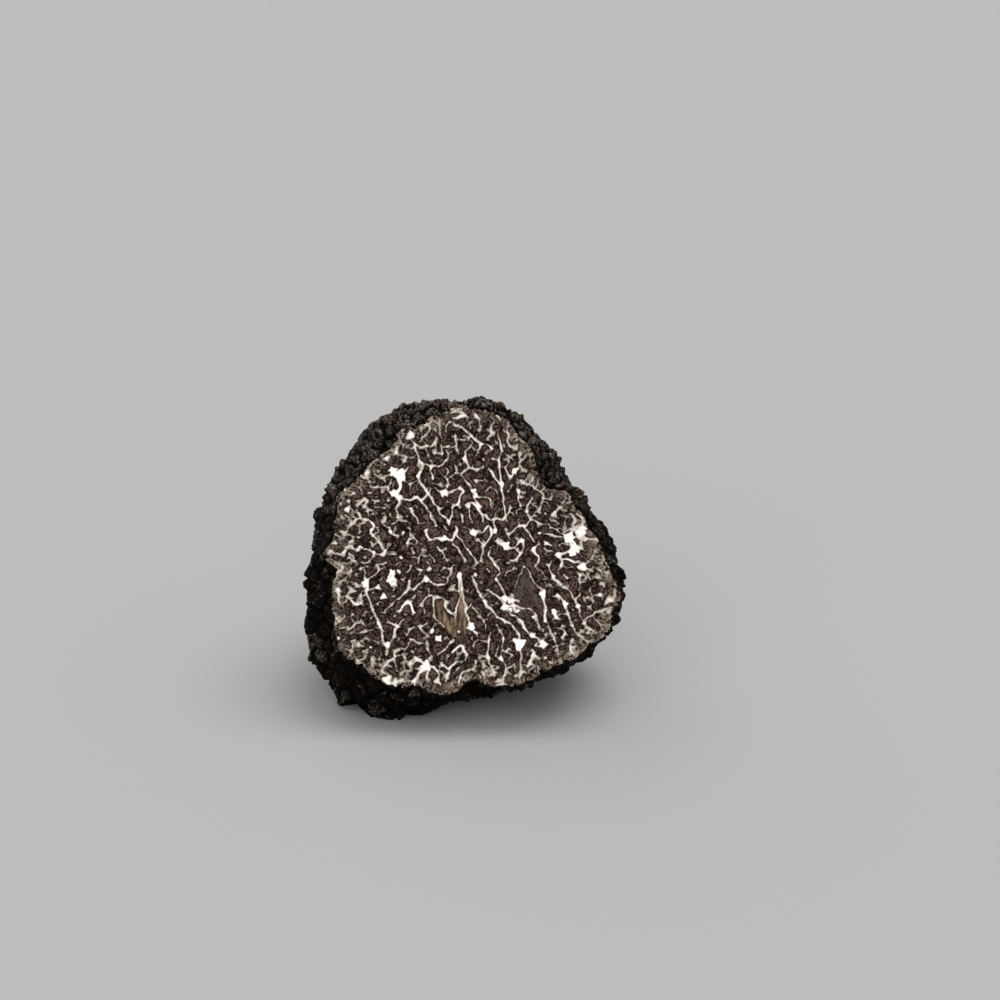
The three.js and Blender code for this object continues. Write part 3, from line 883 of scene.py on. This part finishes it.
# %% Wires
class Wire:
    """An output of a shader node. Arithmetic on wires and numbers adds Math nodes to their tree."""

    def __init__(self, tree, socket=None):
        self.tree = tree
        self.socket = socket

    def node(self, kind, settings, inputs, output=0):
        """Adds a node: first its settings, then a value or a link for each socket that is named."""
        made = self.tree.nodes.new(kind)
        for name, value in settings.items():
            setattr(made, name, value)
        for key, value in inputs.items():
            if isinstance(value, Wire):
                self.tree.links.new(value.socket, made.inputs[key])
            else:
                made.inputs[key].default_value = value
        return Wire(self.tree, made.outputs[output] if made.outputs else None)

    def math(self, operation, first, second):
        """A Math node on two numbers or wires."""
        return self.node("ShaderNodeMath", {"operation": operation}, {0: first, 1: second})

    def __add__(self, other):
        return self.math("ADD", self, other)

    def __sub__(self, other):
        return self.math("SUBTRACT", self, other)

    def __rsub__(self, other):
        return self.math("SUBTRACT", other, self)

    def __mul__(self, other):
        return self.math("MULTIPLY", self, other)

    __radd__ = __add__
    __rmul__ = __mul__

    def step(self, low, high):
        """From 0 at low to 1 at high, level at both ends."""
        bounds = {"Value": self, "From Min": low, "From Max": high}
        return self.node("ShaderNodeMapRange", {"interpolation_type": "SMOOTHSTEP"}, bounds)

    def between(self, first, second):
        """A colour from first, where this wire is 0, to second, where it is 1."""
        return self.node("ShaderNodeMix", {"data_type": "RGBA"}, {0: self, 6: first, 7: second}, output=2)

    def fact(self, name):
        """A number that is stored on the mesh's points."""
        return self.node("ShaderNodeAttribute", {"attribute_name": name}, {}, output="Fac")

    def place(self, stretch):
        """The object's own coordinates, times a number along each axis."""
        place = self.node("ShaderNodeTexCoord", {}, {}, output="Object")
        return self.node("ShaderNodeVectorMath", {"operation": "MULTIPLY"}, {0: place, 1: stretch})

    def noise(self, size, detail=2.0, stretch=(1, 1, 1)):
        """Noise from 0 to 1 with spots of the given size in mm, fixed to the object."""
        inputs = {"Vector": self.place(stretch), "Scale": 1 / (size * MM), "Detail": detail}
        return self.node("ShaderNodeTexNoise", {}, inputs)

    def grains(self, size):
        """Distance to the border of angular grains of the given size in mm, as a share of that size."""
        inputs = {"Vector": self.place((1, 1, 1)), "Scale": 1 / (size * MM)}
        return self.node("ShaderNodeTexVoronoi", {"feature": "DISTANCE_TO_EDGE"}, inputs)


def blank_finish(name):
    """A material with an empty tree, and a wire to start it with."""
    material = bpy.data.materials.new(name)
    material.use_nodes = True
    material.node_tree.nodes.clear()
    return material, Wire(material.node_tree)


# %% [markdown]
# ## The skin's finish
#
# The skin is hard and almost black. Grooves are painted a deeper black as shade, and worn tops
# are greyer and glossier, their grey partly a painted highlight. Dust lies on what faces up, and that
# layer is partly painted light from above too. Soil leaves brown in places, and a few pale specks are
# laid over it. Each wart has a shade of its own, and streaks run down from its tip. The warts
# themselves are in the mesh, so the bump only adds the fine grain.

# %% Colours, sizes and levels of the skin
# The groove black is painted shade. The worn grey is partly a painted highlight, and the dust brown is
# partly painted light on what faces up.
GROOVE_SHADE_BLACK = (0.0007, 0.0006, 0.0005, 1)
TOP_BLACK = (0.0040, 0.0029, 0.0022, 1)
WORN_AND_HIGHLIGHT_GREY = (0.20, 0.168, 0.138, 1)
SOIL_BROWN = (0.016, 0.010, 0.006, 1)
DUST_AND_TOP_LIGHT_BROWN = (0.150, 0.121, 0.094, 1)
SPECK = (0.20, 0.17, 0.13, 1)

SKIN_GRAIN = 0.6  # these four are sizes in mm
SKIN_FLAKE = 0.85
SOIL_PATCH = 7.0
SPECK_CELL = 0.8
SKIN_RELIEF = 0.5  # mm, how deep the bump's grain looks
STREAKS = 14  # round each wart
STREAK_SHIFT = 100  # per unit of shade, so that two warts don't share their streaks

BLACK_RISE = (-0.62, -0.1)  # heights on a wart, in mm, between which a layer comes in
DUST_AND_TOP_LIGHT_RISE = (-0.35, 0.1)
WORN_AND_HIGHLIGHT_RISE = (-0.3, 0.4)
UPPER_SIDE = (-0.1, 0.95)  # from sideways at 0 to straight up at 1, where the dusty tops, partly painted light from above, begin and lie full

SOIL_LEVEL = (0.5, 0.7)  # levels of noise between which a layer comes in
SOIL_GRAIN = (0.4, 0.6)
DUST_AND_TOP_LIGHT_LEVEL = (0.43, 0.63)
WORN_AND_HIGHLIGHT_LEVEL = (0.74, 1.04)
SPECK_LEVEL = (0.77, 0.79)
DUST_AND_TOP_LIGHT_COVER = 0.7
WORN_AND_HIGHLIGHT_BELOW = 0.45  # wear and painted highlight on what doesn't face up, as a share of the rest


# %% Skin
def skin_finish():
    """Black that lightens up the warts and is darkest in the grooves as painted shade, with soil,
    dusty tops that are partly painted light from above, crests greyed by wear and partly by painted
    highlight, and specks laid over it. The places of wear are polished, so they carry a thin coat
    that the rest lacks."""
    material, start = blank_finish("truffle_skin")
    height = start.fact("wart_height")
    shade = start.fact("wart_shade")
    upper = start.fact("skyward").step(*UPPER_SIDE)
    fine = start.noise(SKIN_GRAIN, 5.0)
    grains = start.grains(SKIN_FLAKE)
    place = STREAKS / (2 * np.pi) * start.fact("wart_turn") + STREAK_SHIFT * shade
    streaks = start.node("ShaderNodeTexNoise", {"noise_dimensions": "1D"}, {"W": place, "Scale": 1.0})
    tone = 0.5 * fine + 0.5 * streaks
    # Painted shade: the grooves are darker than the wart tops, as if shaded.
    black = height.step(*BLACK_RISE).between(GROOVE_SHADE_BLACK, TOP_BLACK)
    soil = start.noise(SOIL_PATCH).step(*SOIL_LEVEL) * fine.step(*SOIL_GRAIN)
    # Dust on what faces up, partly painted light: upward faces are lightened because light falls from
    # above.
    dust_and_top_light = upper * height.step(*DUST_AND_TOP_LIGHT_RISE) * tone.step(*DUST_AND_TOP_LIGHT_LEVEL)
    # Worn crests, partly painted highlight: their grey is stronger on what faces the light from above.
    worn_and_highlight = height.step(*WORN_AND_HIGHLIGHT_RISE) * (tone + 0.3 * shade + 0.5 * grains).step(*WORN_AND_HIGHLIGHT_LEVEL)
    worn_and_highlight = worn_and_highlight * (WORN_AND_HIGHLIGHT_BELOW + (1 - WORN_AND_HIGHLIGHT_BELOW) * upper)
    specks = start.noise(SPECK_CELL, 1.0).step(*SPECK_LEVEL)
    colour = soil.between(black, SOIL_BROWN)
    colour = (DUST_AND_TOP_LIGHT_COVER * dust_and_top_light).between(colour, DUST_AND_TOP_LIGHT_BROWN)
    colour = worn_and_highlight.between(colour, WORN_AND_HIGHLIGHT_GREY)
    colour = specks.between(colour, SPECK)
    relief = 0.5 * grains + 0.9 * fine + 0.3 * streaks
    grain = {"Height": relief, "Distance": SKIN_RELIEF * MM, "Strength": 1.0}
    surface = start.node("ShaderNodeBsdfPrincipled", {}, {
        "Base Color": colour, "Roughness": 0.65 - 0.25 * worn_and_highlight, "Specular IOR Level": 0.02,
        "Coat Weight": 0.6 * worn_and_highlight, "Coat Roughness": 0.3,
        "Normal": start.node("ShaderNodeBump", {}, grain),
    })
    start.node("ShaderNodeOutputMaterial", {}, {"Surface": surface})
    return material


# %% [markdown]
# ## The flesh's finish
#
# The cut is matt and moist. Its finish is built in layers, each laid over the ones before: dark
# purple-brown flesh with a fine paler mottle, a beige margin under the skin, the hollow, the patches,
# the white veins, which look creamier where they are thin, and the skin itself as a black line round
# the edge. The stored depths say where each layer begins, and fine noise roughens its edge.

# %% Flesh between the veins
FLESH_DARK = (0.0036, 0.0014, 0.0008, 1)
FLESH_LIGHT = (0.115, 0.072, 0.057, 1)
WRINKLE_GREY = (0.17, 0.128, 0.108, 1)
FLESH_CLOT = 1.2  # sizes in mm
WRINKLE_SIZE = 1.6
BESIDE_VEIN = (-0.42, -0.03)  # depths between which the mottle darkens towards a vein
MOTTLE_LEVEL = (0.41, 0.59)
WRINKLE_LEVEL = (0.45, 0.6)
WRINKLE_WIDTH = 0.0015  # as the square of how far the noise is from its mean


def mottled_flesh(start, fine, coarse, vein):
    """Dark flesh with a light mottle, and grey wrinkles where noise passes its mean, both away from
    the veins."""
    away = 1 - vein.step(*BESIDE_VEIN)
    mottle = (0.65 * fine + 0.35 * start.noise(FLESH_CLOT, 3.0)).step(*MOTTLE_LEVEL)
    flesh = (mottle * (0.2 + 0.8 * away)).between(FLESH_DARK, FLESH_LIGHT)
    fold = start.noise(WRINKLE_SIZE, 2.0) - 0.5
    wrinkle = (1 - (fold * fold).step(0.0, WRINKLE_WIDTH)) * coarse.step(*WRINKLE_LEVEL) * away
    return (0.5 * wrinkle).between(flesh, WRINKLE_GREY)


# %% Margin under the skin
MARGIN_BEIGE = (0.23, 0.185, 0.14, 1)
MARGIN_PALE = (0.36, 0.30, 0.235, 1)
MARGIN_WIDTH = (0.3, 3.8)  # mm from the rim, where the margin is full and where it ends
MARGIN_STRAY = 6.0  # mm, how far noise shifts that
MARGIN_STRETCH = 9.0  # sizes in mm
CRUMB = 1.0
BEIGE_PATCH = 1.7
STRETCH_LEVEL = (0.38, 0.6)
CRUMB_LEVEL = (0.44, 0.6)
BEIGE_LEVEL = (0.42, 0.62)


def with_margin(colour, start, fine, coarse, rim):
    """Crumbs of two beiges over a colour. They thin out away from the rim, and along some stretches
    of it."""
    margin = 1 - (rim + MARGIN_STRAY * (coarse - 0.5)).step(*MARGIN_WIDTH)
    margin = margin * (0.4 + 0.6 * start.noise(MARGIN_STRETCH, 2.0).step(*STRETCH_LEVEL))
    crumbs = (0.5 * start.noise(CRUMB, 3.0) + 0.5 * fine).step(*CRUMB_LEVEL)
    beige = start.noise(BEIGE_PATCH, 2.0).step(*BEIGE_LEVEL).between(MARGIN_BEIGE, MARGIN_PALE)
    return (margin * crumbs).between(colour, beige)


# %% Hollow and patches
HOLLOW_DARK = (0.055, 0.034, 0.024, 1)
HOLLOW_TAN = (0.38, 0.265, 0.18, 1)
PATCH_GREY = (0.078, 0.057, 0.048, 1)
HOLLOW_LIP = (-0.15, 0.2)  # depths in mm between which hollow or patch comes in
HOLLOW_SLOPE = (0.0, 0.9)
PATCH_LIP = (-0.3, 0.5)
FIBRE = 0.7  # mm, width of the hollow's upright fibres
FIBRE_STRETCH = (1.0, 0.16, 0.16)
FIBRE_LEVEL = (0.5, 0.85)
PATCH_LEVEL = (0.3, 0.6)


def with_hollow(colour, start, fine):
    """Upright tan fibres over a colour, lighter the deeper in the hollow."""
    hollow = start.fact("hollow_depth") + 0.5 * (fine - 0.5)
    fibres = start.noise(FIBRE, 3.0, FIBRE_STRETCH) + 0.3 * fine
    lit = fibres.step(*FIBRE_LEVEL) * (0.3 + 0.7 * hollow.step(*HOLLOW_SLOPE))
    return hollow.step(*HOLLOW_LIP).between(colour, lit.between(HOLLOW_DARK, HOLLOW_TAN))


def with_patches(colour, patch, fine, coarse):
    """Grainy grey-brown over a colour, where patch says."""
    grey = (0.6 * fine + 0.4 * coarse).step(*PATCH_LEVEL).between(FLESH_DARK, PATCH_GREY)
    return patch.between(colour, grey)


# %% Veins
VEIN_CREAM = (0.65, 0.56, 0.475, 1)
VEIN_WHITE = (0.97, 0.935, 0.89, 1)
VEIN_LIP = (-0.03, 0.2)  # depths in mm between which flesh turns to vein
WHITE_CORE = (0.1, 0.28)  # and cream to white
KNOT_CORE = (0.3, 0.6)  # and where knots stay white near the rim
DULL_WIDTH = (0.5, 7.0)  # mm from the rim
DULL_LEVEL = (0.4, 0.6)


def with_veins(colour, coarse, vein, rim):
    """Cream to white over a colour by the depth in a vein, duller near the rim except in the knots."""
    white = vein.step(*WHITE_CORE).between(VEIN_CREAM, VEIN_WHITE)
    dull = (1 - rim.step(*DULL_WIDTH)) * (0.2 + 0.6 * coarse.step(*DULL_LEVEL))
    dull = dull * (1 - 0.8 * vein.step(*KNOT_CORE))
    return vein.step(*VEIN_LIP).between(colour, dull.between(white, MARGIN_PALE))


# %% Flesh
RIND_BLACK = (0.003, 0.0026, 0.0023, 1)
RIND_WIDTH = (0.1, 0.35)  # mm from the rim
FLESH_GRAIN = 0.45  # sizes in mm
FLESH_BLOTCH = 2.4
FLESH_RELIEF = 0.05  # mm, how deep the bump's grain looks


def flesh_finish():
    """Flesh, margin, hollow, patches, veins and rind, each laid over the ones before it."""
    material, start = blank_finish("truffle_flesh")
    fine = start.noise(FLESH_GRAIN, 4.0)
    coarse = start.noise(FLESH_BLOTCH, 3.0)
    vein = start.fact("vein_depth") + 0.08 * (fine - 0.5)
    rim = start.fact("rim_distance")
    patch = (start.fact("patch_depth") + (fine - 0.5)).step(*PATCH_LIP)
    colour = mottled_flesh(start, fine, coarse, vein)
    colour = with_margin(colour, start, fine, coarse, rim)
    colour = with_hollow(colour, start, fine)
    colour = with_patches(colour, patch, fine, coarse)
    colour = with_veins(colour, coarse, vein, rim)
    rind = 1 - (rim + 1.2 * (coarse - 0.5) + 0.6 * (fine - 0.5)).step(*RIND_WIDTH)
    colour = (rind * (1 - patch)).between(colour, RIND_BLACK)
    grain = {"Height": fine, "Distance": FLESH_RELIEF * MM, "Strength": 0.6}
    surface = start.node("ShaderNodeBsdfPrincipled", {}, {
        "Base Color": colour, "Roughness": 0.5 + 0.2 * fine, "Specular IOR Level": 0.03,
        "Normal": start.node("ShaderNodeBump", {}, grain),
    })
    start.node("ShaderNodeOutputMaterial", {}, {"Surface": surface})
    return material


# %% Both finishes on the mesh
mesh.materials.append(skin_finish())
mesh.materials.append(flesh_finish())
print("finishes:", [material.name for material in mesh.materials])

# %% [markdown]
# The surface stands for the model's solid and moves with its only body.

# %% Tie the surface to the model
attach(truffle, "root")
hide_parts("truffle")

# %% [markdown]
# ## Floor, light and camera
#
# The truffle lies on a plain pale grey surface without a visible edge or horizon. Sun lamps light
# such a floor evenly however far it goes, and a wide angle makes their shadows soft. The strongest
# stands almost overhead, a broad one in front lights the cut, and a weak one behind lights the back.
# The sky is as bright as the floor, so that no line shows between them from the side.

# %% Floor
FLOOR_REACH = 3.0  # metres from the truffle to the floor's edges
FLOOR_GREY = (0.38, 0.38, 0.38, 1)

floor_mesh = bpy.data.meshes.new("floor")
corners = [(x * FLOOR_REACH, y * FLOOR_REACH, 0) for x, y in ((-1, -1), (1, -1), (1, 1), (-1, 1))]
floor_mesh.from_pydata(corners, [], [(0, 1, 2, 3)])
floor = bpy.data.objects.new("floor", floor_mesh)
bpy.context.scene.collection.objects.link(floor)
floor_finish, floor_start = blank_finish("floor")
matt = floor_start.node("ShaderNodeBsdfPrincipled", {}, {
    "Base Color": FLOOR_GREY, "Roughness": 1.0, "Specular IOR Level": 0.0,
})
floor_start.node("ShaderNodeOutputMaterial", {}, {"Surface": matt})
floor_mesh.materials.append(floor_finish)


# %% Light
def add_sun(name, towards, strength, spread):
    """A lamp as far away as the sun: where it stands, its strength and its width in degrees."""
    lamp = bpy.data.lights.new(name, "SUN")
    lamp.energy = strength
    lamp.angle = np.radians(spread)
    sun = bpy.data.objects.new(name, lamp)
    sun.rotation_mode = "QUATERNION"
    sun.rotation_quaternion = Vector(towards).to_track_quat("Z", "Y")
    bpy.context.scene.collection.objects.link(sun)


add_sun("high_light", towards=(0.3, -0.02, 0.95), strength=1.6, spread=45)
add_sun("front_light", towards=(-0.2, -0.8, 0.55), strength=1.4, spread=60)
add_sun("back_light", towards=(-0.5, 0.65, 0.57), strength=0.55, spread=60)

# %% Sky
SKY_STRENGTH = 0.52

world = bpy.data.worlds.new("studio")
world.use_nodes = True
sky = world.node_tree.nodes["Background"].inputs
sky["Color"].default_value = (1, 1, 1, 1)
sky["Strength"].default_value = SKY_STRENGTH
bpy.context.scene.world = world
bpy.context.scene.view_settings.view_transform = "Standard"

# %% Camera, straight in front of the cut
LENS = 85.0
SENSOR = 36.0
CAMERA_DISTANCE = 472.2  # from the plane of the cut
AIM = np.array([5.8, 10.6])  # right of and above the middle of the cut, where the view is centred

lens = bpy.data.cameras.new("camera")
lens.lens = LENS
lens.sensor_width = SENSOR
camera = bpy.data.objects.new("camera", lens)
bpy.context.scene.collection.objects.link(camera)
stand = cut_centre + AIM @ axes[:2] + CAMERA_DISTANCE * out_of_cut
pose = np.vstack([np.column_stack([axes.T, stand * MM]), [0, 0, 0, 1]])
camera.matrix_world = Matrix(pose.tolist())
bpy.context.scene.camera = camera
print("camera in metres:", np.round(stand * MM, 4).tolist())
